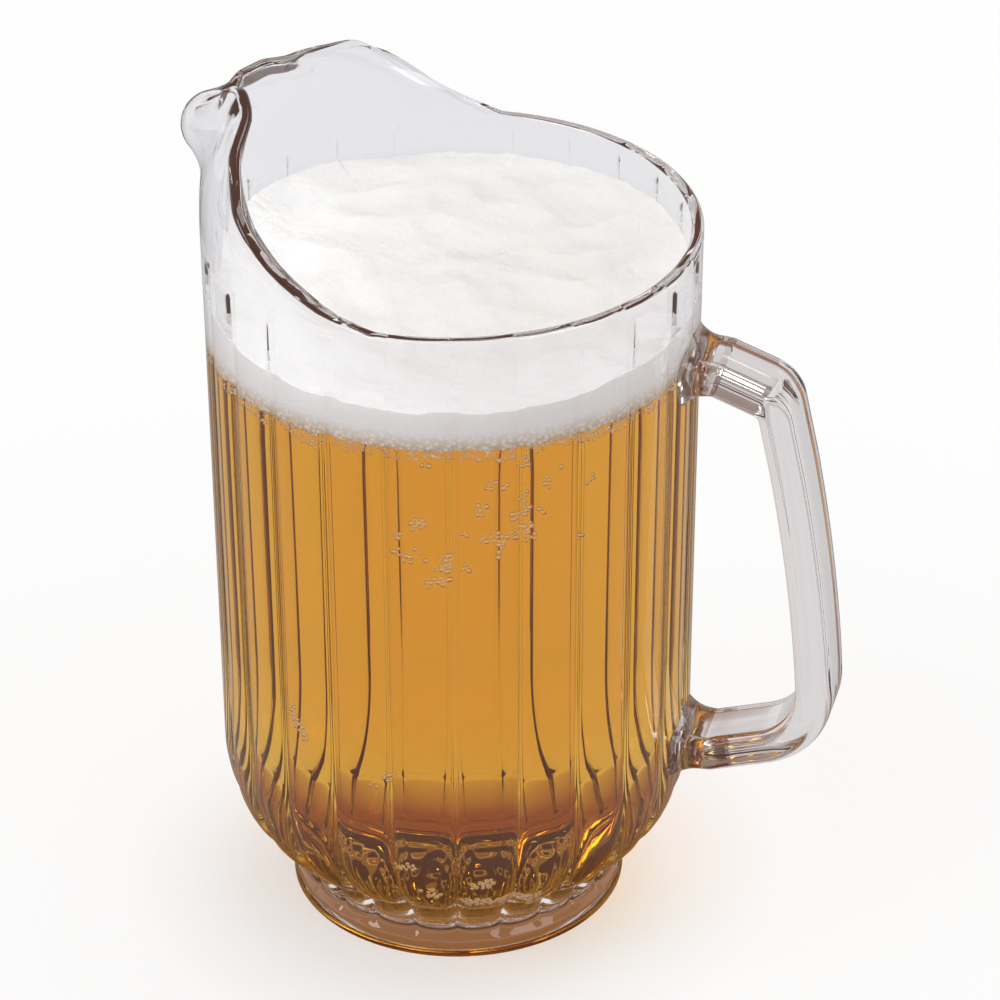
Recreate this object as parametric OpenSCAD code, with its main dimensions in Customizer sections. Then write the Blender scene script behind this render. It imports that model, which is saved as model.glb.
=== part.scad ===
// Clear fluted beer pitcher with a pinched pouring lip and a strap handle, filled with beer under foam.
// The handle points to +X and the lip to -X. The origin is the centre of the foot, on the table.

/* [Body] */
// Outside diameter of the smooth band above the flutes
band_d = 122; // [105:1:140]
// Height of the flute tops above where the base curve ends
flute_h = 141; // [110:1:170]
// Height of the smooth band from the flute tops to the rim, at the handle side
band_h = 2.6; // [1.5:0.1:6]
// How far the wall draws in from the flute tops to the base curve, on the radius
draft_inset = 1.1; // [0.3:0.1:3]
// Wall thickness at the rim
wall_t = 3; // [2:0.1:4.5]
// Wall thickness at the start of the base curve
base_wall_t = 3.8; // [2.8:0.1:5]
// Rounding of the rim's edges
rim_round = 0.7; // [0.2:0.1:1]

/* [Base] */
// Height of the foot ring's outside
foot_h = 4.8; // [3:0.1:8]
// How far the foot ring stands proud of the neck, on the radius
foot_proud = 2; // [0.8:0.1:3]
// Width of the foot ring at the table, on the radius
foot_ring_w = 4.6; // [3:0.1:7]
// Rounding of the foot's edges
foot_round = 0.8; // [0.3:0.1:1.2]
// Height of the ledge from the foot to the neck
ledge_h = 2.6; // [1.5:0.1:5]
// Height of the neck, up to the underside of the lobes
neck_h = 10.6; // [7:0.1:15]
// How far the neck draws in below the lobes, on the radius
neck_inset = 5.5; // [3:0.1:8]
// Height of the base curve, from the underside of the lobes to the straight wall
base_curve_h = 28; // [20:0.5:40]
// How far the base curve draws in, on the radius
base_inset = 13.4; // [8:0.1:18]
// Turn of the base curve in degrees
base_turn = 75; // [60:1:85]
// Depth of the hollow under the foot
recess_h = 4.2; // [2.5:0.1:6]
// Thickness of the floor above that hollow
floor_t = 4.4; // [3:0.1:7]
// How far the well in the floor draws in below the lobes, on the radius
well_inset = 9; // [7.5:0.1:12]
// Rounding between the well and the floor
well_round = 4; // [2:0.1:5]
// Thickness of the lobes' underside, across and down
lobe_wall_t = 3.2; // [2.5:0.1:4.5]

/* [Flutes] */
// Number of flutes
flute_count = 24; // [20:4:32]
// Depth of the grooves between the flutes on the straight wall
flute_depth = 1.2; // [0.6:0.1:1.8]
// Depth of the grooves at the underside of the lobes
lobe_depth = 2.1; // [1:0.1:2.6]
// Depth of the grooves on the neck
neck_depth = 0.9; // [0.2:0.1:1.2]
// Height of the ledge where the flutes run out into the band
flute_end_h = 1.6; // [0.8:0.1:4]

/* [Pouring lip] */
// Angle from the lip where the rim starts to rise, in degrees
rise_angle = 90; // [75:2.5:110]
// Angle from the lip of the shoulders, in degrees
shoulder_angle = 52.5; // [45:2.5:60]
// Height of the shoulders above the flute tops
shoulder_h = 23; // [14:0.5:28]
// How far the shoulders stand proud of the band, on the radius
shoulder_proud = 2; // [0:0.1:4]
// Height of the lip's crest above the flute tops
lip_h = 35; // [24:0.5:42]
// Height of the rim's tip above the flute tops
tip_h = 30.3; // [26:0.1:33]
// How far the rim's tip stands in from the band, on the radius
tip_inset = 3.8; // [2:0.1:6]
// How far the throat is pinched in from the band, on the radius
throat_inset = 10.7; // [7:0.1:15]
// Outside width of the throat
throat_w = 20.6; // [18:0.2:34]
// Outside width of the lip
lip_w = 15.6; // [13:0.2:20]
// Outside diameter of the round hollow nose under the rim's tip
nose_d = 16.8; // [12:0.2:19]
// How far the middle of the nose stands in from the band, on the radius
nose_inset = 1.6; // [0:0.1:3]
// Height of the middle of the nose above the flute tops
nose_h = 21; // [17:0.1:23]
// Blend between the nose and the wall
nose_blend = 6; // [2:0.1:8]

/* [Handle] */
// Width of the strap
strap_w = 18.6; // [14:0.1:24]
// Thickness of the strap
strap_t = 9.4; // [7:0.1:11]
// Rounding of the strap's edges
strap_round = 3.2; // [1.5:0.1:3.4]
// Drop from the flute tops to the middle of the upper arm
arm_drop = 28.8; // [20:0.1:45]
// Height of the middle of the lower arm above the base curve, at the wall
arm_low_h = 3.6; // [2:0.1:20]
// Clear reach from the band to the middle of the grip, at the upper corner
grip_top_reach = 21; // [17:0.1:32]
// Clear reach from the band to the middle of the grip, at the lower corner
grip_low_reach = 33.9; // [28:0.1:42]
// Fall of the upper arm from the wall to the upper corner
arm_fall = 5.4; // [0:0.1:12]
// Rise of the lower arm from the wall to the lower corner
arm_climb = 8.7; // [0:0.1:14]
// How far the grip bows out halfway down
grip_bow = 4.7; // [0:0.1:8]
// Bend radius at the upper corner
bend_top_r = 7; // [6:0.1:12]
// Bend radius at the lower corner
bend_low_r = 17.5; // [8:0.5:20]
// How far the roots spread on the wall, all round
root_spread = 3; // [0:0.1:5]
// Length of the spread roots along the arms
root_l = 6.5; // [4:0.1:10]

/* [Drink] */
// Drop from the flute tops to the top of the beer
fill_drop = 28; // [18:0.5:80]
// Height of the foam at the wall, on its high side
foam_h = 16; // [8:0.5:17]
// How much lower the foam stands on its low side
foam_fall = 5.5; // [0:0.1:6]
// Direction of the low side from the handle, in degrees
foam_low_angle = 285; // [0:5:360]
// Height of the foam's crown above the foam at the wall
foam_crown = 2.4; // [0:0.1:5]
// Height of the waves in the foam
foam_wave = 0.9; // [0:0.1:2]

/* [Hidden] */
panel_steps = 6;
curve_steps = 5;
foam_sides = 48;
foam_rings = 6;
seat_gap = 0.06;
fill_gap = 0.1;
collar_power = 3;
angle_probe = 0.5;
// Lip outline from the tip to the throat: reach, width and rise, as shares
lip_shares = [[1, 0, 0], [0.91, 0.32, 0.32], [0.74, 0.67, 0.62], [0.36, 0.91, 0.91]];
// Cheek outline from the throat to the shoulder: way in, way along and way down, as shares
cheek_shares = [[0, 0, 0], [0.25, 0.18, 0.18], [0.31, 0.45, 0.46], [0.6, 0.73, 0.71], [1, 1, 1]];
// Fall of the rim from the shoulder to the band: angle, stand-out and way down, as shares
fall_shares = [[0.26, 1.4, 0.36], [0.58, 0.6, 0.745], [0.85, 0, 0.95], [1, 0, 1]];
// Heights of the rings between the band and the rim, outside and inside, as shares
outer_shares = [0, 0.22, 0.36, 0.48, 0.6, 0.72, 0.84, 0.94, 1];
inner_shares = [0, 0.3, 0.46, 0.57, 0.69, 0.81, 0.9, 1];

band_r = band_d / 2;
base_r = band_r - draft_inset;
waist_r = base_r - base_inset;
neck_r = waist_r - neck_inset;
foot_r = neck_r + foot_proud;
recess_r = foot_r - foot_ring_w;
well_r = waist_r - well_inset;
neck_z = foot_h + ledge_h;
waist_z = neck_z + neck_h;
base_z = waist_z + base_curve_h;
flute_top_z = base_z + flute_h;
floor_z = recess_h + floor_t;
beer_z = flute_top_z - fill_drop;
curve_a = base_inset / (1 - cos(base_turn));
curve_b = base_curve_h / sin(base_turn);
cavity_base_r = base_r - base_wall_t;
cavity_waist_r = waist_r - lobe_wall_t;
cavity_waist_z = waist_z + lobe_wall_t;
cavity_a = (cavity_base_r - cavity_waist_r) / (1 - cos(base_turn));
cavity_b = (base_z - cavity_waist_z) / sin(base_turn);
panel_angle = 360 / flute_count;
step_angle = panel_angle / panel_steps;
angles = [for (i = [0 : flute_count * panel_steps - 1]) i * step_angle];

function mix(a, b, t) = a + (b - a) * t;
function unit(t) = min(1, max(0, t));
function polar(r, a, z) = [r * cos(a), r * sin(a), z];
function reversed(list) = [for (i = [len(list) - 1 : -1 : 0]) list[i]];

// Groove share round the wall: 1 in a groove, 0 in the middle of a flute
function groove(a) = pow(2 * (a / panel_angle - floor(a / panel_angle)) - 1, 2);

// Outside radius of the plain wall and base curve at a height
function wall_r(z) = z >= base_z
    ? mix(base_r, band_r, (z - base_z) / flute_h)
    : base_r - curve_a * (1 - sqrt(1 - pow(unit((base_z - z) / curve_b), 2)));
function fluted_r(a, z) = wall_r(z) - flute_depth * groove(a);

// Inside radius of the cavity from its base curve up
function cavity_r(z) = mix(cavity_base_r, band_r - wall_t, (z - base_z) / flute_h);

// Smooth curve through four points
function spline(p, t) = 0.5 * (2 * p[1] + (p[2] - p[0]) * t
    + (2 * p[0] - 5 * p[1] + 4 * p[2] - p[3]) * t * t
    + (3 * p[1] - p[0] - 3 * p[2] + p[3]) * t * t * t);

// Outline of half the rim, from the lip's tip to the level part: reach from the axis, half width, rise
throat_reach = band_r - throat_inset;
shoulder_r = band_r + shoulder_proud;
shoulder = [shoulder_r * cos(shoulder_angle), shoulder_r * sin(shoulder_angle)];
lip_points = [
    for (s = lip_shares) [
        mix(throat_reach, band_r - tip_inset, s[0]),
        s[1] * lip_w / 2,
        mix(tip_h, lip_h, s[2])],
    for (s = cheek_shares) [
        mix(throat_reach, shoulder[0], s[0]),
        mix(throat_w / 2, shoulder[1], s[1]),
        mix(lip_h, shoulder_h, s[2])],
    for (s = fall_shares) let (
        t = mix(shoulder_angle, rise_angle, s[0]),
        r = band_r + shoulder_proud * s[1])
        [r * cos(t), r * sin(t), mix(shoulder_h, band_h, s[2])]];
lip_last = len(lip_points) - 1;
function lip_point(i) = i < 0 ? [lip_points[-i][0], -lip_points[-i][1], lip_points[-i][2]]
    : i > lip_last ? 2 * lip_points[lip_last] - lip_points[lip_last - 1] : lip_points[i];
function lip_at(s) = let (i = min(floor(s), lip_last - 1))
    spline([for (k = [-1 : 2]) lip_point(i + k)], s - i);

// Rim of the outside at an angle from the handle
function rim(a) = let (w = a - 360 * floor(a / 360), t = abs(180 - w), side = w > 180 ? -1 : 1)
    t >= rise_angle
        ? polar(band_r, w, flute_top_z + band_h)
        : let (p = lip_at(lip_last * t / rise_angle)) [-p[0], side * p[1], flute_top_z + p[2]];

// Point of the wall carried out onto the round nose of a radius, where the nose stands further out
nose_r = nose_d / 2;
nose_reach = band_r - nose_inset;
nose_z = flute_top_z + nose_h;
function nosed(p, r) = p[0] > 0 ? p : let (
    q = pow(r, 2) - pow(p[1], 2) - pow(p[2] - nose_z, 2),
    nose = nose_reach + sign(q) * sqrt(abs(q)),
    blend = max(0, nose_blend - abs(nose + p[0])))
    [-max(-p[0], nose) - pow(blend, 2) / (4 * nose_blend), p[1], p[2]];

// Rim moved towards the inside by a distance, and lowered
function rim_inside(a, inset, drop) = let (
    p = rim(a),
    way = rim(a + angle_probe) - rim(a - angle_probe),
    long = norm([way[0], way[1]]))
    [p[0] - inset * way[1] / long, p[1] + inset * way[0] / long, p[2] - drop];

// Rings of points up the jug's outside, over the rim and down its inside
function plain_ring(r, z, depth) = [for (a = angles) polar(r - depth * groove(a), a, z)];
function rim_ring(inset, drop) = [for (a = angles) rim_inside(a, inset, drop)];
function collar_ring(share, inset) = [for (a = angles) let (
    foot = polar(band_r - inset, a, flute_top_z),
    top = rim_inside(a, inset, rim_round),
    p = mix(foot, top, pow(share, collar_power)))
    nosed([p[0], p[1], mix(foot[2], top[2], share)], nose_r - inset)];
function base_ring(t) = plain_ring(
    base_r - curve_a * (1 - cos(t)),
    base_z - curve_b * sin(t),
    mix(flute_depth, lobe_depth, t / base_turn));
function cavity_ring(t) = plain_ring(cavity_base_r - cavity_a * (1 - cos(t)), base_z - cavity_b * sin(t), 0);

foot_rings = [
    plain_ring(recess_r - foot_ring_w, recess_h, 0),
    plain_ring(recess_r, foot_round, 0),
    plain_ring(recess_r + foot_round, 0, 0),
    plain_ring(foot_r - foot_round, 0, 0),
    plain_ring(foot_r, foot_round, 0),
    plain_ring(foot_r, foot_h - foot_round, 0),
    plain_ring(foot_r - foot_round, foot_h, 0),
    plain_ring(neck_r, neck_z, neck_depth)];
outside_rings = [
    for (i = [curve_steps : -1 : 0]) base_ring(base_turn * i / curve_steps),
    plain_ring(wall_r(flute_top_z - flute_end_h), flute_top_z - flute_end_h, flute_depth),
    for (share = outer_shares) collar_ring(share, 0)];
inside_rings = [
    rim_ring(rim_round, 0),
    rim_ring(wall_t - rim_round, 0),
    for (share = reversed(inner_shares)) collar_ring(share, wall_t),
    for (i = [0 : curve_steps]) cavity_ring(base_turn * i / curve_steps),
    plain_ring(well_r, floor_z + well_round, 0),
    plain_ring(well_r - well_round, floor_z, 0)];

// Closed solid through a stack of rings of equal count, capped flat at both ends
module ring_solid(rings) {
    n = len(rings[0]);
    last = (len(rings) - 1) * n;
    polyhedron(
        points = [for (ring = rings) each ring],
        faces = [
            [for (i = [0 : n - 1]) i],
            [for (i = [n - 1 : -1 : 0]) last + i],
            for (k = [0 : len(rings) - 2], i = [0 : n - 1]) let (a = k * n + i, b = k * n + (i + 1) % n)
                each [[a, a + n, b], [b, a + n, b + n]]]);
}

// Middle line of the handle in its own plane: reach from the axis and height, with round bends
arm_top_z = flute_top_z - arm_drop;
arm_low_z = base_z + arm_low_h;
grip_top = [band_r + grip_top_reach, arm_top_z - arm_fall];
grip_low = [band_r + grip_low_reach, arm_low_z + arm_climb];
grip_middle = (grip_top + grip_low) / 2 + [grip_bow, 0];
function towards(a, b, d) = a + (b - a) * d / norm(b - a);
function bend(p, r) = let (
    turn = acos((p[1] - p[0]) * (p[2] - p[1]) / (norm(p[1] - p[0]) * norm(p[2] - p[1]))),
    d = r * tan(turn / 2),
    start = towards(p[1], p[0], d),
    end = towards(p[1], p[2], d),
    middle = towards(p[1], (start + end) / 2, r / cos(turn / 2)))
    [for (i = [0 : curve_steps]) towards(middle, mix(start, end, i / curve_steps), r)];
arm_start = [band_r + root_l, arm_top_z];
arm_end = [band_r + root_l, arm_low_z];
grip_curve = [for (i = [1 : curve_steps - 1]) let (t = i / curve_steps)
    mix(mix(grip_top, grip_middle, t), mix(grip_middle, grip_low, t), t)];
strap_line = [
    arm_start,
    each bend([arm_start, grip_top, grip_curve[0]], bend_top_r),
    each grip_curve,
    each bend([grip_curve[curve_steps - 2], grip_low, arm_end], bend_low_r),
    arm_end];

// Section of the strap, spread by a distance: across and through
function strap_section(spread) = [
    for (q = [[1, 1, 0], [-1, 1, 90], [-1, -1, 180], [1, -1, 270]], t = [0 : 30 : 90]) [
        q[0] * (strap_w / 2 - strap_round) + (strap_round + spread) * cos(q[2] + t),
        q[1] * (strap_t / 2 - strap_round) + (strap_round + spread) * sin(q[2] + t)]];

// Section set across the middle line at a point
function strap_ring(i) = let (
    p = strap_line[i],
    way = strap_line[min(i + 1, len(strap_line) - 1)] - strap_line[max(i - 1, 0)],
    out = [-way[1], way[0]] / norm(way))
    [for (s = strap_section(0)) [p[0] + s[1] * out[0], s[0], p[1] + s[1] * out[1]]];

// Point laid on the fluted wall at a place across and up
function on_wall(y, z) = let (a = asin(y / wall_r(z)), r = fluted_r(a, z))
    [sqrt(r * r - y * y) + seat_gap, y, z];

// Root of an arm: rings from the arm to the wall, and in over the wall to the root's middle
function root_rings(z, up) = [
    for (t = [0.35, 0.65, 0.9]) let (spread = root_spread * pow(t, 3))
        [for (s = strap_section(spread)) let (w = on_wall(s[0], z + up * s[1]))
            [mix(band_r + root_l, w[0], t), s[0], z + up * s[1]]],
    for (t = [1, 0.66, 0.33]) [for (s = strap_section(root_spread)) on_wall(t * s[0], z + up * t * s[1])]];

// Fill of the cavity, held clear of its wall
beer_outline = [
    [0, floor_z + fill_gap],
    [well_r - well_round - fill_gap, floor_z + fill_gap],
    [well_r - fill_gap, floor_z + well_round],
    for (i = [curve_steps : -1 : 0]) let (t = base_turn * i / curve_steps) [
        cavity_base_r - cavity_a * (1 - cos(t)) - fill_gap,
        base_z - cavity_b * sin(t) + fill_gap * sin(t)],
    [cavity_r(beer_z) - fill_gap, beer_z],
    [0, beer_z]];

// Top of the foam at a share of the radius
function foam_z(share, a) = beer_z + foam_h + foam_crown * (1 - share * share)
    - foam_fall * share * share * (1 + cos(a - foam_low_angle)) / 2
    + foam_wave * share * (1 - share) * (2 * sin(2 * a + 40) + sin(5 * a) + sin(3 * a + 300 * share));
foam_r = cavity_r(beer_z) - fill_gap;
foam_base_z = beer_z + seat_gap;
function foam_ring(share) = [for (i = [0 : foam_sides - 1]) let (a = 360 * i / foam_sides)
    polar(share * foam_r, a, foam_z(share, a))];

module jug_body() {
    color([0.93, 0.95, 0.96, 0.35])
        ring_solid([each foot_rings, each outside_rings, each inside_rings]);
}

module handle() {
    color([0.9, 0.89, 0.87, 0.45])
        ring_solid(reversed([
            each reversed(root_rings(arm_top_z, 1)),
            for (i = [0 : len(strap_line) - 1]) strap_ring(i),
            each root_rings(arm_low_z, -1)]));
}

module beer() {
    color([0.86, 0.58, 0.14, 0.8])
        rotate_extrude($fn = 144)
            polygon(beer_outline);
}

module foam_head() {
    color([0.98, 0.96, 0.92])
        ring_solid([
            [for (i = [0 : foam_sides - 1]) polar(foam_r, 360 * i / foam_sides, foam_base_z)],
            for (k = [foam_rings : -1 : 1]) foam_ring(k / foam_rings)]);
}

jug_body();
handle();
beer();
foam_head();
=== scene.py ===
# Clear fluted beer pitcher with a strap handle, filled with beer under a head of foam.
from math import acos, asin, atan2, cos, floor, pi, radians, sin, sqrt, tan

import bpy
import numpy as np
from mathutils import Matrix, Vector, noise


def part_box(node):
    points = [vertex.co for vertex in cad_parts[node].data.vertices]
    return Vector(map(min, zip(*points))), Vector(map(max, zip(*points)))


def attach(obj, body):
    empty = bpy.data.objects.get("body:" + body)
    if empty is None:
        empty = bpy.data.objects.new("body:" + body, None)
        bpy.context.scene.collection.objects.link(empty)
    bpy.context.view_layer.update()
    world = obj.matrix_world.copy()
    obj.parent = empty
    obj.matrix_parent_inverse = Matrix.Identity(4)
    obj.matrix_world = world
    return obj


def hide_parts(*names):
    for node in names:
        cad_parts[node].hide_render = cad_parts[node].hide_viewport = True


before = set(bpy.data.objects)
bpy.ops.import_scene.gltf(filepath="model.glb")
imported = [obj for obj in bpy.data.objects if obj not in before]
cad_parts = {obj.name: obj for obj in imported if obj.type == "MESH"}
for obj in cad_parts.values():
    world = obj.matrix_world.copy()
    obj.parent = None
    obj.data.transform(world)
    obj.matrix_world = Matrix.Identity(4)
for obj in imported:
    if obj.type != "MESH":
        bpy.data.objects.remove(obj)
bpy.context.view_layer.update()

scene = bpy.context.scene
scene.view_settings.view_transform = "Standard"
MM = 0.001
rng = np.random.default_rng(7)

# Main sizes, from the frame, in which the beer lies a gap above the jug's floor
fill_gap = 0.1 * MM
beer_low, beer_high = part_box("beer")
band_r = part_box("jug_body")[1].y
beer_z = beer_high.z
floor_z = beer_low.z - fill_gap

# Jug: heights and radii
flute_h = 141 * MM
base_curve_h = 28 * MM
beer_drop = 28 * MM
flute_top_z = beer_z + beer_drop
base_z = flute_top_z - flute_h
waist_z = base_z - base_curve_h
band_h = 2.6 * MM
wall_t = 3 * MM
base_wall_t = 3.8 * MM
lobe_wall_t = 3.2 * MM
rim_edge_round = 1.1 * MM
base_r = band_r - 1.1 * MM
waist_r = base_r - 13.4 * MM
neck_r = waist_r - 5.5 * MM
neck_z = 7.4 * MM
neck_round = 1.6 * MM
waist_round = 0.9 * MM
foot_r = neck_r + 2 * MM
foot_h = 4.8 * MM
foot_round = 0.8 * MM
recess_r = foot_r - 4.6 * MM
recess_top_r = recess_r - 4.6 * MM
recess_h = 4.2 * MM
well_r = waist_r - 9 * MM
well_round = 4 * MM
well_edge_round = 2.6 * MM
ledge_round = 1.4 * MM
base_turn = radians(75)
base_turn_start = base_turn - radians(5)
base_start_w = 1.4 * MM
base_start_h = 0.6 * MM

# Jug: flutes
flute_count = 24
flute_depth = 1.2 * MM
lobe_depth = 2.1 * MM
neck_depth = 0.9 * MM
flute_end_h = 2.4 * MM
flute_end_round = 0.6 * MM
flute_ends_z = flute_top_z - flute_end_h
notch_zs = (waist_z, base_z, base_z + 30 * MM, beer_z - 5 * MM, beer_z + 8 * MM)
notch_shares = (0.06, 0.15, 0.35, 0.35, 0.3)
crown_zs = (waist_z, base_z, base_z + 30 * MM)
crown_powers = (4, 2.7, 2)
crown_rounds = (0.1, 0.02, 0)
fade_zs = (beer_z, flute_ends_z - 8 * MM)
fade_shares = (1, 0.4)
notch_half_w = 0.75 * MM
notch_round = 0.12 * MM
panel_shares = (0, 0.012, 0.028, 0.045, 0.09, 0.18, 0.32, 0.5, 0.68, 0.82, 0.91, 0.955, 0.972, 0.988)
panel_turn = 2 * pi / flute_count
turns = np.array([panel_turn * (k + s) for k in range(flute_count) for s in panel_shares])
lip_step = radians(1.2)
lip_steps = 15
near_lip = pi + lip_step * np.arange(-lip_steps, lip_steps + 1)
turns = np.unique(np.round(np.concatenate((turns, near_lip)), 7))

# Jug: dimples moulded under the floor
dimple_pitch = 4.5 * MM
dimple_r = 1.5 * MM
dimple_depth = 0.18 * MM
dimple_circles = 6

# Jug: slack in finding the faces that the beer wets
wall_slack = 0.05 * MM
floor_slack = 0.1 * MM
wet_rise = 1 * MM
wet_slope = 0.5

# Pouring lip
rise_angle = radians(90)
shoulder_angle = radians(52.5)
shoulder_h = 23 * MM
shoulder_proud = 2 * MM
lip_h = 35 * MM
tip_h = 30.3 * MM
tip_reach = band_r - 3.8 * MM
throat_reach = band_r - 10.7 * MM
throat_w = 20.6 * MM
lip_w = 15.6 * MM
lip_shares = ((1, 0, 0), (0.91, 0.32, 0.32), (0.74, 0.67, 0.62), (0.36, 0.91, 0.91))
cheek_shares = ((0, 0, 0), (0.25, 0.18, 0.18), (0.31, 0.45, 0.46), (0.6, 0.73, 0.71), (1, 1, 1))
fall_shares = ((0.26, 1.4, 0.36), (0.58, 0.6, 0.745), (0.85, 0, 0.95), (1, 0, 1))
nose_r = 8.4 * MM
nose_in_r = nose_r - wall_t
nose_reach = band_r - 1.6 * MM
nose_z = flute_top_z + 21 * MM
nose_blend = 5 * MM
nose_turn_low = 0.74
nose_turn_high = 0.97
nose_middle_r = 0.1 * MM
collar_power = 3
collar_blend_share = 0.1

# Handle
strap_w = 18.6 * MM
strap_t = 9.4 * MM
strap_round = 3.2 * MM
arm_top_z = flute_top_z - 28.8 * MM
arm_low_z = base_z + 3.6 * MM
root_l = 6.5 * MM
root_spread = 3 * MM
root_sink = 0.3 * MM
root_power = 3
root_middle_shares = (0.75, 0.5, 0.25, 0)
grip_top = np.array((band_r + 21 * MM, arm_top_z - 5.4 * MM))
grip_low = np.array((band_r + 33.9 * MM, arm_low_z + 8.7 * MM))
grip_bow = np.array((4.7 * MM, 0))
grip_shares = (0.2, 0.8)
bend_top_r = 7 * MM
bend_low_r = 17.5 * MM

# Drink: both fills reach a little into the wall, so that no film of air shows between them
beer_overlap = 0.1 * MM
beer_rise = 1.5 * MM
beer_edge_h = 1 * MM
foam_overlap = 0.2 * MM
foam_sink = 0.4 * MM
foam_edge_w = 0.3 * MM
foam_under_shares = (0, 0.5, 0.9)
foam_h = 19 * MM
foam_fall = 8.5 * MM
foam_low_turn = radians(285)
foam_crown = 2.6 * MM
foam_clings = ((5 * MM, radians(168)), (3.6 * MM, radians(40)))
cling_edge_power = 6
cling_turn_power = 4

# Foam's top: length and height in millimetres, and seed, of its folds, ridges and lumps,
# how much calmer they are towards the wall, and its froth
fold_l, fold_h, fold_seed = 22, 1.7, Vector((3, 5, 1))
ridge_l, ridge_h, ridge_seed = 15, 2.2, Vector((8, 1, 4))
lump_l, lump_h, lump_seed = 8, 1.0, Vector((1, 2, 7))
ridge_level = 0.25
edge_calm_share, edge_calm_power = 0.6, 6
froth_l = 2.2
froth_h, edge_froth_h, edge_froth_power = 0.2, 0.4, 8

# Foam's lower edge: height, closeness and seed of each of its waves
hem_waves = ((1.1 * MM, 4, 2), (0.7 * MM, 14, 5), (0.4 * MM, 40, 8))

# Bubbles on the wall, and the froth of small ones under the foam
bubble_gap = 0.15 * MM
cluster_low_r, cluster_high_r = 0.42 * MM, 0.72 * MM
cluster_spread = 0.45 * MM
cluster_crowding = 0.96
cluster_tries = 60
froth_count = 4600
froth_high_r, froth_low_r = 0.5 * MM, 0.2 * MM
froth_fine_power = 0.6
froth_rise = 1.2 * MM
froth_depth = 6.5 * MM
froth_depth_power = 1.7
froth_thin_share = 0.35
froth_wave_reach, froth_wave_seed = 7, 12

# Mesh: longest steps along rows, numbers of rows and points, welding and the sharpest smooth edge
foot_step = 2.5 * MM
well_step = 4 * MM
strap_step = 1.6 * MM
section_step = 2 * MM
corner_steps = 4
corner_cut_share = 0.48
recess_row_count = 46
base_row_count = 20
wall_row_count = 22
flute_end_row_count = 7
collar_row_count = 33
root_row_count = 14
bend_point_count = 15
grip_point_count = 19
strap_corner_point_count = 9
foam_side_row_count = 12
foam_top_row_count = 110
weld_l = 0.002 * MM
smooth_turn = radians(38)

# Camera at the photograph's viewing angle, and the rays from it that place the bubbles
image_px = 1000
lens_l = 167.67
sensor_w = 36
camera_turn = radians(15)
camera_place = Vector((11.3, -1000, 712.56)) * MM
camera_tilt = 31.06
camera_roll = -0.0046
camera_frame = (
    Matrix.Rotation(camera_turn, 4, "Z") @ Matrix.Translation(camera_place)
    @ Matrix.Rotation(radians(90 - camera_tilt), 4, "X") @ Matrix.Rotation(camera_roll, 4, "Z"))
ray_l = 300 * MM
ray_step = 0.05 * MM


def mix(a, b, t):
    """Value at a share of the way from a to b."""
    return a + (b - a) * t


def eased(t):
    """Share from 0 to 1 that starts and ends level."""
    return t * t * (3 - 2 * t)


def spaced(rows, longest):
    """The rows with more put in between, so that no step along them is over a length."""
    out = [rows[0]]
    for a, b in zip(rows, rows[1:]):
        step = np.max(np.linalg.norm((b - a)[..., :2], axis=-1))
        count = max(1, int(np.ceil(step / longest)))
        out += [mix(a, b, k / count) for k in range(1, count + 1)]
    return out


def rounded(corners):
    """Points along corners given as (radius, height, groove depth, rounding), each corner turned round."""
    points = [np.array(c[:3], float) for c in corners]
    out = [points[0]]
    for k in range(1, len(points) - 1):
        cut = corners[k][3]
        before, after = points[k - 1] - points[k], points[k + 1] - points[k]
        start = points[k] + before * min(corner_cut_share, cut / np.linalg.norm(before[:2]))
        end = points[k] + after * min(corner_cut_share, cut / np.linalg.norm(after[:2]))
        for t in np.linspace(0, 1, corner_steps + 1):
            out.append(mix(mix(start, points[k], t), mix(points[k], end, t), t))
    return out + [points[-1]]


def groove(turn, z):
    """Share of the groove's depth at an angle and height: crowned flutes with narrow notches between."""
    place = turn / panel_turn
    away = 1 - np.abs(2 * (place - np.floor(place)) - 1)
    run = away * panel_turn / 2 * band_r
    notch = np.clip(1 - (np.sqrt(run**2 + notch_round**2) - notch_round) / notch_half_w, 0, 1)
    soft = np.interp(z, crown_zs, crown_rounds)
    crown = (1 + soft - np.sqrt(away**2 + soft**2)) ** np.interp(z, crown_zs, crown_powers)
    return mix(crown, notch, np.interp(z, notch_zs, notch_shares)) * np.interp(z, fade_zs, fade_shares)


def wall_r(z):
    """Outside radius of the straight wall at a height, on the crowns of the flutes."""
    return mix(base_r, band_r, (z - base_z) / flute_h)


def cavity_r(z):
    """Inside radius of the straight wall at a height."""
    return mix(base_r - base_wall_t, band_r - wall_t, (z - base_z) / flute_h)


def ring(r, z, depth=0):
    """Points round the axis at a radius and height, let in at the grooves."""
    around = r - depth * groove(turns, z)
    return np.column_stack((around * np.cos(turns), around * np.sin(turns), np.full(len(turns), z)))


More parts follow.
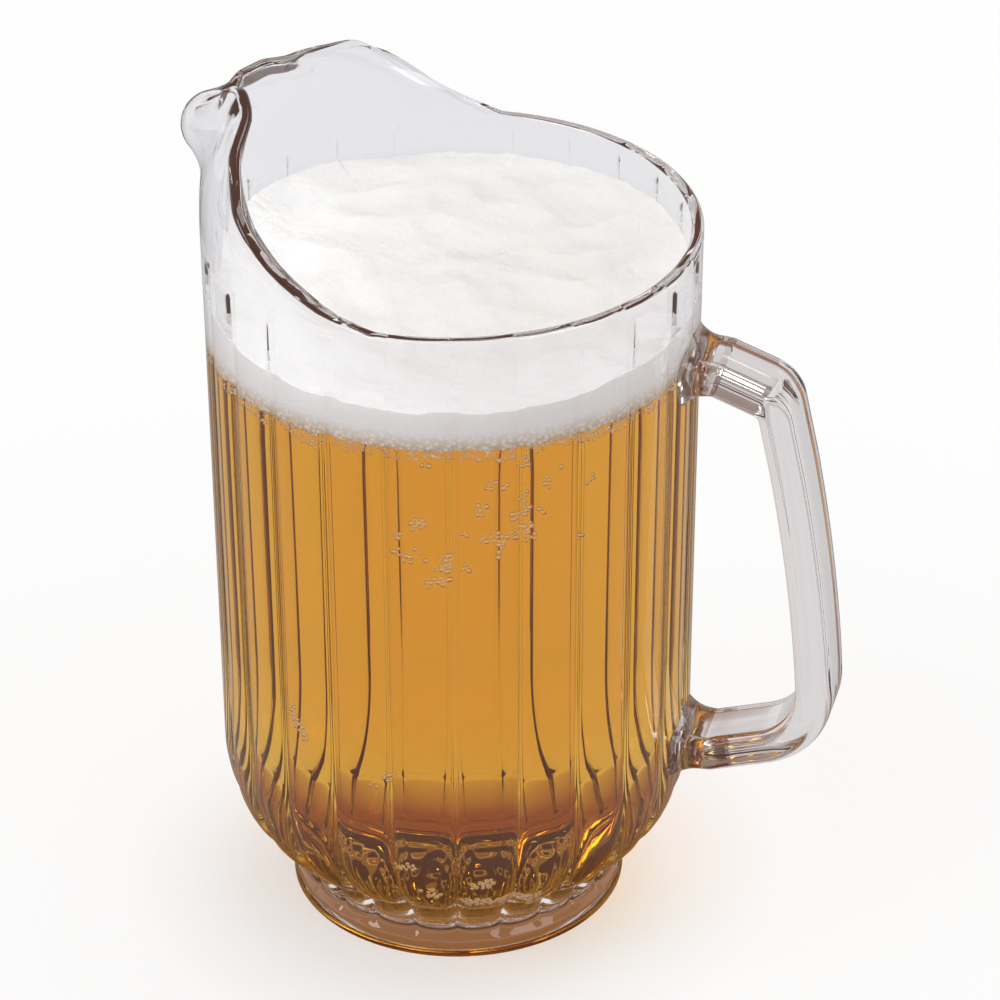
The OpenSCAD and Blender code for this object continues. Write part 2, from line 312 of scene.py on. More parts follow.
def skin(name, rows):
    """Closed skin through rows of points of equal count, from a grid that is wrapped round and welded."""
    rows = np.array(rows)
    height, width = len(rows) - 1, len(rows[0])
    bpy.ops.object.select_all(action="DESELECT")
    bpy.ops.mesh.primitive_grid_add(x_subdivisions=width, y_subdivisions=height, size=1)
    piece = bpy.context.object
    piece.name = piece.data.name = name
    flat = np.zeros(len(piece.data.vertices) * 3, np.float32)
    piece.data.vertices.foreach_get("co", flat)
    flat = flat.reshape(-1, 3) + 0.5
    column = np.rint(flat[:, 0] * width).astype(int) % width
    row = np.rint(flat[:, 1] * height).astype(int)
    piece.data.vertices.foreach_set("co", rows[row, column].astype(np.float32).ravel())
    bpy.ops.object.mode_set(mode="EDIT")
    bpy.ops.mesh.select_all(action="SELECT")
    bpy.ops.mesh.remove_doubles(threshold=weld_l)
    bpy.ops.mesh.normals_make_consistent(inside=False)
    bpy.ops.object.mode_set(mode="OBJECT")
    bpy.ops.object.shade_smooth_by_angle(angle=smooth_turn)
    return piece


def seat(piece, slot, material, *nodes):
    """Hangs a finished piece on the frame, with its finish and the nodes that it stands for."""
    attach(piece, "root")
    if nodes:
        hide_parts(*nodes)
    piece.data.materials.clear()
    piece.data.materials.append(material)


# Pouring lip and rim

def lip_outline():
    """Points of half the rim from the lip's tip to its level part: reach, half width and rise."""
    points = []
    for a, b, c in lip_shares:
        points.append((mix(throat_reach, tip_reach, a), b * lip_w / 2, mix(tip_h, lip_h, c)))
    shoulder_r = band_r + shoulder_proud
    for a, b, c in cheek_shares:
        reach = mix(throat_reach, shoulder_r * cos(shoulder_angle), a)
        half = mix(throat_w / 2, shoulder_r * sin(shoulder_angle), b)
        points.append((reach, half, mix(lip_h, shoulder_h, c)))
    for a, b, c in fall_shares:
        turn, r = mix(shoulder_angle, rise_angle, a), band_r + shoulder_proud * b
        points.append((r * cos(turn), r * sin(turn), mix(shoulder_h, band_h, c)))
    return np.array(points)


lip_points = lip_outline()


def lip_point(k):
    """One point of half the lip's outline, carried on past its tip and its shoulder."""
    last = len(lip_points) - 1
    if k < 0:
        return lip_points[-k] * (1, -1, 1)
    if k <= last:
        return lip_points[k]
    reach, half, _ = 2 * lip_points[last] - lip_points[last - 1]
    return np.array((reach, half, lip_points[last - 1][2]))


def lip_at(place):
    """Smooth outline of half the lip: reach from the axis, half width and rise."""
    k = min(floor(place), len(lip_points) - 2)
    t = place - k
    a, b, c, d = (lip_point(k + j) for j in (-1, 0, 1, 2))
    return 0.5 * (2 * b + (c - a) * t + (2 * a - 5 * b + 4 * c - d) * t**2 + (3 * b - a - 3 * c + d) * t**3)


def rim(turn):
    """Point on the outside of the rim at an angle from the handle."""
    from_lip = abs(pi - turn % (2 * pi))
    if from_lip >= rise_angle:
        return np.array((band_r * cos(turn), band_r * sin(turn), flute_top_z + band_h))
    reach, half, rise = lip_at((len(lip_points) - 1) * from_lip / rise_angle)
    side = -1 if turn % (2 * pi) > pi else 1
    return np.array((-reach, side * half, flute_top_z + rise))


def rim_row(inset, drop):
    """The rim moved towards the inside by a distance, and lowered."""
    probe = radians(0.5)
    row = []
    for turn in turns:
        way = rim(turn + probe) - rim(turn - probe)
        inward = np.array((-way[1], way[0], 0)) / np.hypot(way[0], way[1])
        row.append(rim(turn) + inset * inward - (0, 0, drop))
    return np.array(row)


def collar(share, foot, top):
    """Row at a share of the way from the round band to the rim."""
    row = mix(foot, top, share**collar_power)
    row[:, 2] = mix(foot[:, 2], top[:, 2], share)
    return row


def nosed(row, r):
    """The row carried out onto a round nose of a radius under the lip, where the nose stands further out."""
    out = row.copy()
    for k, (x, y, z) in enumerate(row):
        away = np.hypot(y, z - nose_z)
        turn = mix(nose_turn_low, nose_turn_high, max(0, z - nose_z) / max(away, nose_middle_r))
        ball = sqrt(1 - min(away / r, turn) ** 2)
        nose = nose_reach + r * (ball - max(0, away / r - turn) * turn / sqrt(1 - turn**2))
        blend = max(0, nose_blend - abs(nose + x))
        if x < 0:
            out[k, 0] = -max(-x, nose) - blend**2 / (4 * nose_blend)
    return out


def moved_in(rows, depth):
    """A surface of closed rows moved in by a depth, square to itself."""
    along = np.roll(rows, -1, axis=1) - np.roll(rows, 1, axis=1)
    out = np.cross(along, np.gradient(rows, axis=0))
    return rows - depth * out / np.linalg.norm(out, axis=-1, keepdims=True)


# Jug body

def dimples(r):
    """Depth of the dimples under the floor, round a circle."""
    circle = round(r / dimple_pitch)
    count = max(1, round(2 * pi * circle))
    step = 2 * pi / count
    along = (turns / step - np.rint(turns / step)) * step * r
    away = (along**2 + (r - circle * dimple_pitch) ** 2) / dimple_r**2
    return dimple_depth * np.clip(1 - away, 0, 1) * (0 < circle <= dimple_circles)


def jug_rows():
    """Rows of the jug from the middle of its recess, up the outside, over the rim and down the inside."""
    rows = []
    for r in np.linspace(0, recess_top_r, recess_row_count):
        row = ring(r, recess_h)
        row[:, 2] -= dimples(r)
        rows.append(row)
    rows[-1][:, 2] = recess_h
    foot = rounded((
        (recess_top_r, recess_h, 0, 0),
        (recess_r, 0, 0, foot_round),
        (foot_r, 0, 0, foot_round),
        (foot_r, foot_h, 0, foot_round),
        (neck_r, neck_z, neck_depth, neck_round),
        (waist_r, waist_z, lobe_depth, waist_round),
        (waist_r + base_start_w, waist_z + base_start_h, lobe_depth, 0)))
    rows += [ring(*p) for p in spaced(foot, foot_step)[1:-1]]
    curve_a = (base_r - waist_r) / (1 - cos(base_turn))
    curve_b = base_curve_h / sin(base_turn)
    for t in np.linspace(base_turn_start, 0, base_row_count):
        depth = mix(flute_depth, lobe_depth, t / base_turn)
        rows.append(ring(base_r - curve_a * (1 - cos(t)), base_z - curve_b * sin(t), depth))
    straight = np.linspace(base_z, flute_ends_z, wall_row_count)
    heights = (*straight[1:-1], flute_ends_z - flute_end_round, flute_ends_z)
    rows += [ring(wall_r(z), z, flute_depth) for z in heights]
    for t in np.linspace(0, 1, flute_end_row_count)[1:-1]:
        z = mix(flute_ends_z, flute_top_z, t)
        rows.append(ring(wall_r(z), z, flute_depth * (1 - eased(t))))
    shares = np.linspace(0, 1, collar_row_count)
    foot, top = ring(band_r, flute_top_z), rim_row(0, rim_edge_round)
    outside = np.array([nosed(collar(share, foot, top), nose_r) for share in shares])
    rows += list(outside)
    edge = np.radians((15, 30, 45, 60, 75, 90))
    drops, insets = rim_edge_round * (1 - np.sin(edge)), rim_edge_round * (1 - np.cos(edge))
    corner = list(zip(insets, drops))
    rows += [nosed(rim_row(inset, drop), nose_r) for inset, drop in corner]
    rows += [nosed(rim_row(wall_t - inset, drop), nose_in_r) for inset, drop in corner[::-1]]
    foot, top = ring(band_r - wall_t, flute_top_z), rim_row(wall_t, rim_edge_round)
    plain = np.array([nosed(collar(share, foot, top), nose_in_r) for share in shares])
    even = np.clip((1 - shares) / collar_blend_share, 0, 1)[:, None, None]
    rows += list(mix(plain, moved_in(outside, wall_t), eased(even))[::-1])
    return rows + [ring(r, z) for r, z in cavity_line(0)]


def cavity_line(overlap):
    """Outline of the cavity from the flute tops down to the middle of the floor, grown by an overlap."""
    low_r, low_z = waist_r - lobe_wall_t, waist_z + lobe_wall_t
    curve_a = (cavity_r(base_z) - low_r) / (1 - cos(base_turn))
    curve_b = (base_z - low_z) / sin(base_turn)
    line = [(cavity_r(z) + overlap, z) for z in np.linspace(flute_top_z, base_z, wall_row_count)[1:]]
    for t in np.linspace(0, base_turn, base_row_count)[1:-1]:
        r = cavity_r(base_z) - curve_a * (1 - cos(t))
        line.append((r + overlap * cos(t), base_z - curve_b * sin(t) - overlap * sin(t)))
    well = rounded((
        (*line[-1], 0, 0),
        (low_r + overlap, low_z - overlap, 0, ledge_round),
        (well_r + overlap, floor_z + well_round - overlap, 0, well_edge_round),
        (well_r - well_round, floor_z - overlap, 0, well_edge_round),
        (0, floor_z - overlap, 0, 0)))
    return line + [(p[0], p[1]) for p in spaced(well, well_step)[1:]]


def wet_inside(piece, material):
    """Gives the inside, up to the top of the beer, the plastic as it bends light against beer."""
    piece.data.materials.append(material)
    for face in piece.data.polygons:
        x, y, z = face.center
        inside = face.normal.x * x + face.normal.y * y < 0 or face.normal.z > wet_slope
        within = np.hypot(x, y) < cavity_r(max(z, base_z)) + wall_slack
        deep = floor_z - floor_slack < z < beer_z + wet_rise
        face.material_index = int(inside and within and deep)


# Handle

def bend(a, b, c, r):
    """Points round a bend of a radius at b."""
    into, out = (b - a) / np.linalg.norm(b - a), (c - b) / np.linalg.norm(c - b)
    turn = acos(into @ out)
    cut = r * tan(turn / 2)
    start, end = b - into * cut, b + out * cut
    centre = b + ((start + end) / 2 - b) / np.linalg.norm((start + end) / 2 - b) * r / cos(turn / 2)
    arc = [mix(start, end, t) - centre for t in np.linspace(0, 1, bend_point_count)]
    return [centre + p / np.linalg.norm(p) * r for p in arc]


def strap_line():
    """Middle line of the strap in its own plane, from the upper root to the lower one."""
    start = np.array((band_r + root_l, arm_top_z))
    end = np.array((band_r + root_l, arm_low_z))
    bow = (grip_top + grip_low) / 2 + grip_bow
    shares = np.linspace(*grip_shares, grip_point_count)
    grip = [mix(mix(grip_top, bow, t), mix(bow, grip_low, t), t) for t in shares]
    line = [start, *bend(start, grip_top, grip[0], bend_top_r), *grip]
    line += [*bend(grip[-1], grip_low, end, bend_low_r), end]
    return spaced(line, strap_step)


def strap_section(spread):
    """Points round the strap, grown by a spread: across and through."""
    flat_w, flat_t = strap_w / 2 - strap_round, strap_t / 2 - strap_round
    points = []
    for k, (across, through) in enumerate(((1, 1), (-1, 1), (-1, -1), (1, -1))):
        for t in np.radians(np.linspace(0, 90, strap_corner_point_count)) + k * pi / 2:
            reach = strap_round + spread
            points.append(np.array((across * flat_w + reach * cos(t), through * flat_t + reach * sin(t))))
    return np.array(spaced(points + points[:1], section_step)[:-1])


def wall_row(section, z, up, lift):
    """A section laid on the fluted wall at a height, lifted off it by a distance."""
    row = []
    for across, through in section:
        height = z + up * through
        turn = asin(across / wall_r(height))
        r = wall_r(height) - flute_depth * groove(turn, height) + lift
        row.append((sqrt(r * r - across * across), across, height))
    return np.array(row)


def root_rows(z, up):
    """Rows of one root, from the arm to the wall and in over the wall to the root's middle."""
    rows = []
    for t in np.linspace(0, 1, root_row_count)[1:]:
        spread = root_spread * t**root_power
        row = wall_row(strap_section(spread), z, up, -root_sink)
        row[:, 0] = mix(band_r + root_l, row[:, 0], t)
        rows.append(row)
    whole = strap_section(root_spread)
    rows += [wall_row(whole * t, z, up, -root_sink) for t in root_middle_shares]
    return rows


def handle_rows():
    """Rows of the handle from the middle of its upper root to the middle of its lower one."""
    line = strap_line()
    section = strap_section(0)
    rows = root_rows(arm_top_z, 1)[::-1]
    for k, p in enumerate(line):
        way = line[min(k + 1, len(line) - 1)] - line[max(k - 1, 0)]
        out = np.array((-way[1], way[0])) / np.linalg.norm(way)
        across, through = section.T
        rows.append(np.column_stack((p[0] + through * out[0], across, p[1] + through * out[1])))
    return rows + root_rows(arm_low_z, -1)


# Drink

def waver(turn, reach, seed):
    """Slow uneven wave round the axis, from -1 to 1."""
    return noise.noise(Vector((reach * cos(turn), reach * sin(turn), seed)))


def beer_rows():
    """Rows of the beer from the middle of its top, down the wall and in over the floor."""
    top_z = beer_z + beer_rise
    line = [p for p in cavity_line(beer_overlap) if p[1] < top_z - beer_edge_h]
    edge = (cavity_r(top_z) + beer_overlap, top_z)
    return [ring(r, z) for r, z in [(0, top_z), (edge[0] / 2, top_z), edge, *line]]


def hem(turn):
    """Height of the foam's uneven lower edge at the wall, from the top of the beer."""
    return sum(high * waver(turn, close, seed) for high, close, seed in hem_waves)


def foam_top(x, y):
    """Height of the foam's top: a low crown, lower on one side, that clings to the wall and has folds."""
    p = Vector((x, y, 0)) / MM
    share = min(1, p.length * MM / cavity_r(beer_z + foam_h))
    turn = atan2(y, x)
    fall = foam_fall * (1 + share * cos(turn - foam_low_turn)) / 2
    clings = [high * max(0, cos(turn - place)) ** cling_turn_power for high, place in foam_clings]
    cling = share**cling_edge_power * sum(clings)
    folds = noise.noise(p / fold_l + fold_seed)
    ridges = abs(noise.noise(p / ridge_l + ridge_seed))
    lumps = noise.noise(p / lump_l + lump_seed)
    froth = noise.noise(p / froth_l)
    rough = froth_h + edge_froth_h * share**edge_froth_power
    lift = fold_h * folds + ridge_h * (ridge_level - ridges) + lump_h * lumps
    lift = lift * (1 - edge_calm_share * share**edge_calm_power) + rough * froth
    return beer_z + foam_h - fall + cling + foam_crown * (1 - share**2) + lift * MM


def foam_rows():
    """Rows of the foam from the middle of its underside, up the wall and in over its top."""
    under_r = cavity_r(beer_z)
    rows = [ring(under_r * share, beer_z - foam_sink) for share in foam_under_shares]
    top_r = cavity_r(beer_z + foam_h - foam_fall)
    edge = ring(top_r, 0)
    edge[:, 2] = [foam_top(x, y) for x, y in edge[:, :2]]
    low = beer_z + np.array([hem(t) for t in turns])
    for t in np.linspace(0, 1, foam_side_row_count):
        height = mix(low, edge[:, 2], t)
        r = cavity_r(height) + foam_overlap
        rows.append(np.column_stack((r * np.cos(turns), r * np.sin(turns), height)))
    for r in np.linspace(top_r - foam_edge_w, 0, foam_top_row_count):
        row = ring(r, 0)
        row[:, 2] = [foam_top(x, y) for x, y in row[:, :2]]
        rows.append(row)
    return rows


# Bubbles

# Clusters on the inside of the wall, each at a pixel of the photograph: pixel across, pixel down,
# number of bubbles, length in millimetres and slope in degrees
clusters = (
    (418, 522, 12, 3, 20), (398, 536, 3, 2, 0), (404, 553, 10, 5, -25), (417, 548, 2, 2, 0),
    (425, 561, 1, 1, 0), (447, 560, 12, 6, 80), (437, 580, 10, 6, 10), (439, 566, 3, 2, 60),
    (466, 567, 3, 2, 0), (490, 483, 4, 3, 30), (502, 486, 2, 2, 0), (480, 508, 6, 3, 60),
    (525, 494, 5, 3, 70), (525, 508, 6, 3, 40), (540, 510, 2, 2, 0), (515, 518, 5, 3, 0),
    (528, 524, 4, 2, 0), (508, 535, 26, 14, -3), (498, 549, 5, 4, 85), (545, 480, 4, 3, 80),
    (588, 477, 4, 3, 30), (558, 461, 1, 1, 0), (525, 462, 4, 3, 0), (426, 463, 2, 2, 0),
    (574, 539, 4, 3, 60), (579, 531, 2, 2, 0), (467, 534, 2, 2, 0), (291, 698, 2, 2, 0),
    (303, 720, 22, 9, -60), (375, 781, 3, 2, 0), (388, 776, 3, 2, 40), (405, 863, 20, 6, 10),
    (431, 885, 8, 5, -30), (482, 878, 14, 5, 20), (503, 888, 50, 18, -4), (535, 887, 12, 6, 0),
    (436, 893, 5, 4, 0))

cavity_points = np.array(cavity_line(0)[::-1])


def inner_r(z):
    """Inside radius of the jug at a height."""
    return np.interp(z, cavity_points[:, 1], cavity_points[:, 0])


def on_wall(turn, z, r):
    """Centre of a bubble of a radius that sits on the inside of the wall."""
    reach = inner_r(z) - r - bubble_gap
    return reach * cos(turn), reach * sin(turn), z, r


def wall_spot(across, down):
    """Angle and height at which the camera's ray through a pixel first meets the inside of the wall."""
    middle = image_px / 2
    way = camera_frame.to_3x3() @ Vector((across - middle, middle - down, -image_px * lens_l / sensor_w))
    start = camera_frame.translation
    steps = np.arange(start.length - ray_l, start.length, ray_step)
    points = np.array(start) + steps[:, None] * np.array(way.normalized())
    within = np.hypot(points[:, 0], points[:, 1]) < inner_r(points[:, 2])
    x, y, z = points[np.argmax(within)]
    return atan2(y, x), z


def cluster_bubbles():
    """Bubbles huddled in clusters and strings on the inside of the wall."""
    places = []
    for across, down, count, length, slope in clusters:
        turn, height = wall_spot(across, down)
        tries = 0
        here = []
        while len(here) < count and tries < cluster_tries * count:
            tries += 1
            along = rng.uniform(-length / 2, length / 2) * MM
            off = rng.normal(0, cluster_spread)
            tilt = radians(slope)
            side, up = along * cos(tilt) - off * sin(tilt), along * sin(tilt) + off * cos(tilt)
            z = height + up
            r = rng.uniform(cluster_low_r, cluster_high_r)
            spot = np.array(on_wall(turn + side / inner_r(z), z, r))
            if all(np.linalg.norm(spot[:3] - p[:3]) > cluster_crowding * (spot[3] + p[3]) for p in here):
                here.append(spot)
        places += here
    return np.array(places)


def froth_bubbles():
    """Small bubbles crowded under the foam's lower edge."""
    places = []
    for turn, deep, size in rng.uniform(0, 1, (froth_count, 3)):
        turn *= 2 * pi
        thin = mix(froth_thin_share, 1, 0.5 + 0.5 * waver(turn, froth_wave_reach, froth_wave_seed))
        z = beer_z + hem(turn) + froth_rise - froth_depth * thin * deep**froth_depth_power
        places.append(on_wall(turn, z, mix(froth_high_r, froth_low_r, size**froth_fine_power)))
    return np.array(places)


def bubbles(name, places, rounds):
    """Small round bubbles at places given as (x, y, z, radius), all copies of one."""
    bpy.ops.object.select_all(action="DESELECT")
    bpy.ops.mesh.primitive_ico_sphere_add(subdivisions=rounds, radius=1)
    piece = bpy.context.object
    piece.name = piece.data.name = name
    copies = piece.modifiers.new("copies", "ARRAY")
    copies.count = len(places)
    copies.use_relative_offset = False
    bpy.ops.object.modifier_apply(modifier="copies")
    shape = np.zeros(len(piece.data.vertices) * 3, np.float32)
    piece.data.vertices.foreach_get("co", shape)
    shape = shape.reshape(len(places), -1, 3) * places[:, None, 3:] + places[:, None, :3]
    piece.data.vertices.foreach_set("co", shape.astype(np.float32).ravel())
    bpy.ops.object.shade_smooth()
    return piece


# Materials

plastic_ior = 1.58
beer_ior = 1.34
body_colour = (0.925, 0.935, 0.95)
handle_colour = (0.85, 0.83, 0.82)
body_ripple = 0.02
handle_ripple = 0.05
plastic_shade = (0.9, 0.91, 0.92)
bubble_shade = (0.97, 0.96, 0.94)
# Painted glow: a faint warm light that the bubbles give off
painted_bubble_glow = (1, 0.88, 0.7)
painted_bubble_glow_strength = 0.05
amber = (0.972, 0.773, 0.053)
amber_density = 36
white = (1, 1, 1)
# Height range, from the top of the beer, of the foam's painted side shade and of its coarse bubbles
foam_shade_drop = 1 * MM
foam_shade_rise = 13 * MM

# Painted glow: a faint warm light that the plastic gives off at every surface, which gathers where light is
# caught in the rim and the edges
painted_edge_glow = (0.85, 0.36, 0.24)
painted_edge_glow_strength = 0.013


def new_material(name):
    """Empty material and its tree of nodes."""
    material = bpy.data.materials.new(name)
    material.use_nodes = True
    material.node_tree.nodes.clear()
    return material, material.node_tree


def add(tree, kind, links=None, **values):
    """Adds a node, sets its inputs by name and links others to sockets."""
    node = tree.nodes.new(kind)
    for key, value in values.items():
        name = key.replace("_", " ")
        if name in node.inputs:
            node.inputs[name].default_value = value
        else:
            setattr(node, key, value)
    for name, socket in (links or {}).items():
        tree.links.new(socket, node.inputs[name])
    return node


def ramp(tree, source, *stops):
    """Colour ramp on a value, from (place, colour) stops."""
    node = add(tree, "ShaderNodeValToRGB", {"Fac": source})
    while len(node.color_ramp.elements) < len(stops):
        node.color_ramp.elements.new(1)
    for element, (place, colour) in zip(node.color_ramp.elements, stops):
        element.position = place
        element.color = (*colour, 1)
    return node.outputs["Color"]


def ranged(tree, source, low, high, to_low, to_high):
    """Maps a value from one range to another."""
    node = add(tree, "ShaderNodeMapRange", {"Value": source},
               From_Min=low, From_Max=high, To_Min=to_low, To_Max=to_high)
    return node.outputs["Result"]


def worked_out(tree, way, first, second):
    """Value worked out from a socket and a second one, which may be a fixed number."""
    node = add(tree, "ShaderNodeMath", {0: first}, operation=way)
    if isinstance(second, float):
        node.inputs[1].default_value = second
    else:
        tree.links.new(second, node.inputs[1])
    return node.outputs[0]


def blended(tree, way, share, first, second):
    """Colour from a share of a second colour blended onto a first one, each a socket or a fixed colour."""
    node = add(tree, "ShaderNodeMix", data_type="RGBA", blend_type=way)
    for name, value in (("Factor", share), ("A", first), ("B", second)):
        kind = "VALUE" if name == "Factor" else "RGBA"
        slot = next(s for s in node.inputs if s.name == name and s.type == kind)
        if isinstance(value, tuple):
            slot.default_value = (*value, 1)
        else:
            tree.links.new(value, slot)
    return next(s for s in node.outputs if s.type == "RGBA")


def lit_through(tree, surface, tint):
    """Output that lets lamps shine through a clear surface."""
    light = add(tree, "ShaderNodeLightPath")
    clear = add(tree, "ShaderNodeBsdfTransparent", Color=(*tint, 1))
    both = add(tree, "ShaderNodeMixShader", {
        0: light.outputs["Is Shadow Ray"], 1: surface.outputs[0], 2: clear.outputs[0]})
    out = add(tree, "ShaderNodeOutputMaterial", {"Surface": both.outputs[0]})
    return out


def clear_plastic(name, colour, ripple, bending=plastic_ior):
    """Clear glossy moulded plastic with faint flow ripples, a little handling wear and a faint painted warm
    glow.
    """
    material, tree = new_material(name)
    place = add(tree, "ShaderNodeTexCoord").outputs["Object"]
    wear = add(tree, "ShaderNodeTexNoise", {"Vector": place}, Scale=90, Detail=4)
    flow = add(tree, "ShaderNodeTexNoise", {"Vector": place}, Scale=26, Detail=1)
    bump = add(tree, "ShaderNodeBump", {"Height": flow.outputs["Fac"]}, Strength=ripple, Distance=1 * MM)
    rough = ranged(tree, wear.outputs["Fac"], 0.55, 0.8, 0.0, 0.05)
    plastic = add(tree, "ShaderNodeBsdfPrincipled", {"Roughness": rough, "Normal": bump.outputs["Normal"]},
                  Base_Color=(*colour, 1), IOR=bending)
    plastic.inputs["Transmission Weight"].default_value = 1
    # Painted glow: the plastic gives off a faint warm light at every surface
    plastic.inputs["Emission Color"].default_value = (*painted_edge_glow, 1)
    plastic.inputs["Emission Strength"].default_value = painted_edge_glow_strength
    lit_through(tree, plastic, plastic_shade)
    return material


def bubble_air():
    """Air in beer: the bubble's skin bends light the other way than a drop does, and gives off a faint
    painted warm glow.
    """
    material, tree = new_material("bubble_air")
    air = add(tree, "ShaderNodeBsdfPrincipled", Base_Color=(*white, 1), Roughness=0, IOR=1 / beer_ior)
    air.inputs["Transmission Weight"].default_value = 1
    # Painted glow: the bubble's skin gives off a faint warm light
    air.inputs["Emission Color"].default_value = (*painted_bubble_glow, 1)
    air.inputs["Emission Strength"].default_value = painted_bubble_glow_strength
    lit_through(tree, air, bubble_shade)
    return material


def amber_beer():
    """Clear amber liquid that takes up light with depth; the jug's wet skin does the bending."""
    material, tree = new_material("amber_beer")
    liquid = add(tree, "ShaderNodeBsdfPrincipled", Base_Color=(*white, 1), Roughness=0, IOR=1.0)
    liquid.inputs["Transmission Weight"].default_value = 1
    out = lit_through(tree, liquid, white)
    depth = add(tree, "ShaderNodeVolumeAbsorption", Color=(*amber, 1), Density=amber_density)
    tree.links.new(depth.outputs[0], out.inputs["Volume"])
    return material


def white_foam():
    """White froth of fine bubbles, with coarser, darker ones along its lower edge, amber where it meets the
    beer, and painted shade that makes its sides greyer than its top.
    """
    material, tree = new_material("white_foam")
    place = add(tree, "ShaderNodeTexCoord").outputs["Object"]
    height = add(tree, "ShaderNodeSeparateXYZ", {"Vector": place}).outputs["Z"]
    fine = add(tree, "ShaderNodeTexVoronoi", {"Vector": place}, Scale=1500)
    coarse = add(tree, "ShaderNodeTexVoronoi", {"Vector": place}, Scale=900)
    drift = add(tree, "ShaderNodeTexNoise", {"Vector": place}, Scale=60, Detail=5)
    low = ranged(tree, height, beer_z - foam_shade_drop, beer_z + foam_shade_rise, 0, 1)
    # Painted shade: greyer down the foam's sides than on its top, and amber where the foam meets the beer
    painted_shade_by_height = ramp(tree, low, (0, (0.72, 0.6, 0.42)), (0.1, (0.86, 0.84, 0.8)), (0.3, (0.9, 0.91, 0.92)),
                 (0.75, (0.94, 0.95, 0.96)), (1, (0.92, 0.95, 0.96)))
    speck = ramp(tree, coarse.outputs["Distance"], (0.1, (1, 1, 1)), (0.62, (0.62, 0.42, 0.2)))
    where = ramp(tree, low, (0.05, (0.95, 0.95, 0.95)), (0.2, (0.5, 0.5, 0.5)), (0.42, (0.04, 0.04, 0.04)))
    colour = blended(tree, "MULTIPLY", where, painted_shade_by_height, speck)
    lumps = add(tree, "ShaderNodeBump", {"Height": drift.outputs["Fac"]}, Strength=0.6, Distance=1.6 * MM)
    grain = add(tree, "ShaderNodeBump", {
        "Height": fine.outputs["Distance"],
        "Normal": lumps.outputs["Normal"]}, Strength=0.35, Distance=0.3 * MM)
    foam = add(tree, "ShaderNodeBsdfPrincipled", {"Base Color": colour, "Normal": grain.outputs["Normal"]},
               Roughness=0.55)
    foam.inputs["Subsurface Weight"].default_value = 0.4
    foam.inputs["Subsurface Radius"].default_value = (2 * MM, 1.7 * MM, 1.4 * MM)
    foam.inputs["Subsurface Scale"].default_value = 1
    add(tree, "ShaderNodeOutputMaterial", {"Surface": foam.outputs[0]})
    return material


# Stage: floor, sky and soft lamps

floor_size = 12
floor_z_gap = 0.05 * MM
floor_grey = (0.92, 0.92, 0.92)
through_tone = (0.82, 0.825, 0.85)
through_share = 0.95
# Painted dark amber shade round the foot, seen through the clear walls and in reflections
painted_under_shade = (0.27, 0.105, 0.03)
painted_mirror_shade = (0.6, 0.3, 0.1)
mirror_strength = 0.35


def pale_floor():
    """Floor that is white to the eye, pale through the clear walls and dim in reflections, with painted dark
    amber shade round the foot, and keeps the shadow.
    """
    bpy.ops.object.select_all(action="DESELECT")
    bpy.ops.mesh.primitive_plane_add(size=floor_size, location=(0, 0, -floor_z_gap))
    ground = bpy.context.object
    ground.name = "pale_floor"
    material, tree = new_material("pale_floor")
    light = add(tree, "ShaderNodeLightPath")
    caught = worked_out(tree, "MAXIMUM", light.outputs["Is Glossy Ray"], light.outputs["Is Transmission Ray"])
    seen = worked_out(tree, "MAXIMUM", light.outputs["Is Camera Ray"], caught)
    direct = worked_out(tree, "LESS_THAN", light.outputs["Diffuse Depth"], 0.5)
    seen = worked_out(tree, "MULTIPLY", seen, direct)
    place = add(tree, "ShaderNodeTexCoord").outputs["Object"]
    away = add(tree, "ShaderNodeVectorMath", {0: place}, operation="LENGTH").outputs["Value"]
    near = ranged(tree, away, foot_r, 2 * foot_r, 0.4, 0.84)
    far = ranged(tree, away, 2 * foot_r, 7 * foot_r, 0, 0.13)
    share = worked_out(tree, "ADD", near, far)
    share = worked_out(tree, "MAXIMUM", share, ranged(tree, caught, 0, 1, 0, through_share))
    share = worked_out(tree, "MULTIPLY", seen, share)
    matt = add(tree, "ShaderNodeBsdfDiffuse", Color=(*floor_grey, 1))
    # Painted shade: the floor round the foot turns dark amber in the glass and in reflections
    under = ranged(tree, away, 1.3 * foot_r, 2.2 * foot_r, 0, 1)
    through = ramp(tree, under, (0, painted_under_shade), (1, through_tone))
    tone = blended(tree, "MIX", caught, white, through)
    bright = add(tree, "ShaderNodeEmission", {"Color": tone}, Strength=1)
    lit = add(tree, "ShaderNodeMixShader", {0: share, 1: matt.outputs[0], 2: bright.outputs[0]})
    mirrored = ramp(tree, under, (0, painted_mirror_shade), (1, white))
    dim = add(tree, "ShaderNodeEmission", {"Color": mirrored}, Strength=mirror_strength)
    both = add(tree, "ShaderNodeMixShader", {
        0: light.outputs["Is Reflection Ray"], 1: lit.outputs[0], 2: dim.outputs[0]})
    add(tree, "ShaderNodeOutputMaterial", {"Surface": both.outputs[0]})
    ground.data.materials.append(material)


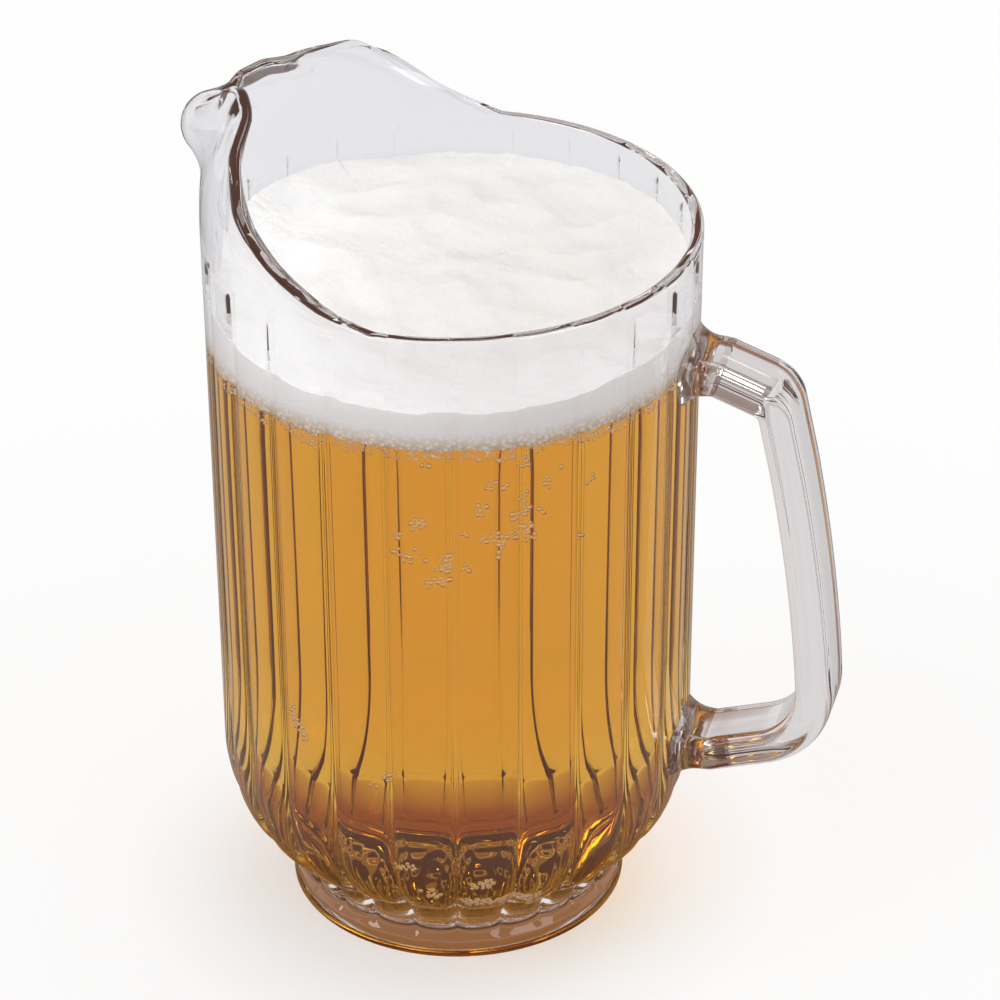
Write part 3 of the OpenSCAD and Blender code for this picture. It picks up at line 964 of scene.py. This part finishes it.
def studio_sky():
    """White to the eye, and a pale horizon under a dim warm room for what the clear walls catch."""
    world = bpy.data.worlds.new("studio_sky")
    scene.world = world
    world.use_nodes = True
    tree = world.node_tree
    tree.nodes.clear()
    way = add(tree, "ShaderNodeTexCoord").outputs["Generated"]
    up = add(tree, "ShaderNodeSeparateXYZ", {"Vector": way}).outputs["Z"]
    room = ramp(tree, up, (0.0, (0.92, 0.92, 0.93)), (0.22, (0.85, 0.84, 0.84)), (0.42, (0.28, 0.22, 0.19)),
                (1, (0.34, 0.28, 0.25)))
    light = add(tree, "ShaderNodeLightPath")
    seen = add(tree, "ShaderNodeBackground", Color=(*white, 1), Strength=1)
    caught = add(tree, "ShaderNodeBackground", {"Color": room}, Strength=1)
    both = add(tree, "ShaderNodeMixShader", {
        0: light.outputs["Is Camera Ray"], 1: caught.outputs[0], 2: seen.outputs[0]})
    add(tree, "ShaderNodeOutputWorld", {"Surface": both.outputs[0]})


def softbox(name, place, size, power):
    """Soft square lamp aimed at the middle of the jug."""
    lamp = bpy.data.lights.new(name, "AREA")
    lamp.size = size
    lamp.energy = power
    lantern = bpy.data.objects.new(name, lamp)
    scene.collection.objects.link(lantern)
    lantern.location = place
    aim = Vector((0, 0, beer_z / 2)) - lantern.location
    lantern.rotation_euler = aim.to_track_quat("-Z", "Y").to_euler()


def photo_camera():
    """Camera at the photograph's viewing angle."""
    lens = bpy.data.cameras.new("photo_camera")
    lens.sensor_width = sensor_w
    lens.lens = lens_l
    camera = bpy.data.objects.new("photo_camera", lens)
    scene.collection.objects.link(camera)
    camera.matrix_world = camera_frame
    scene.camera = camera


photo_camera()
pale_floor()
studio_sky()
softbox("key_softbox", (-1.1, -0.9, 1.5), 1.0, 14)
softbox("fill_softbox", (1.4, -0.7, 0.9), 0.9, 6)
softbox("top_softbox", (0.2, 0.5, 1.8), 0.9, 9)

body_plastic = clear_plastic("clear_body_plastic", body_colour, body_ripple)
wet_plastic = clear_plastic("clear_body_plastic_wet", body_colour, body_ripple, plastic_ior / beer_ior)
handle_plastic = clear_plastic("clear_handle_plastic", handle_colour, handle_ripple)

jug = skin("clear_jug", jug_rows())
seat(jug, "clear_body", body_plastic, "jug_body")
wet_inside(jug, wet_plastic)
strap = skin("strap_handle", handle_rows())
seat(strap, "clear_handle", handle_plastic, "handle")
drink = skin("beer_fill", beer_rows())
seat(drink, "beer", amber_beer(), "beer")
head = skin("foam_top", foam_rows())
seat(head, "foam", white_foam(), "foam_head")
air = bubble_air()
seat(bubbles("wall_bubbles", cluster_bubbles(), 2), "beer", air)
seat(bubbles("froth_bubbles", froth_bubbles(), 1), "beer", air)
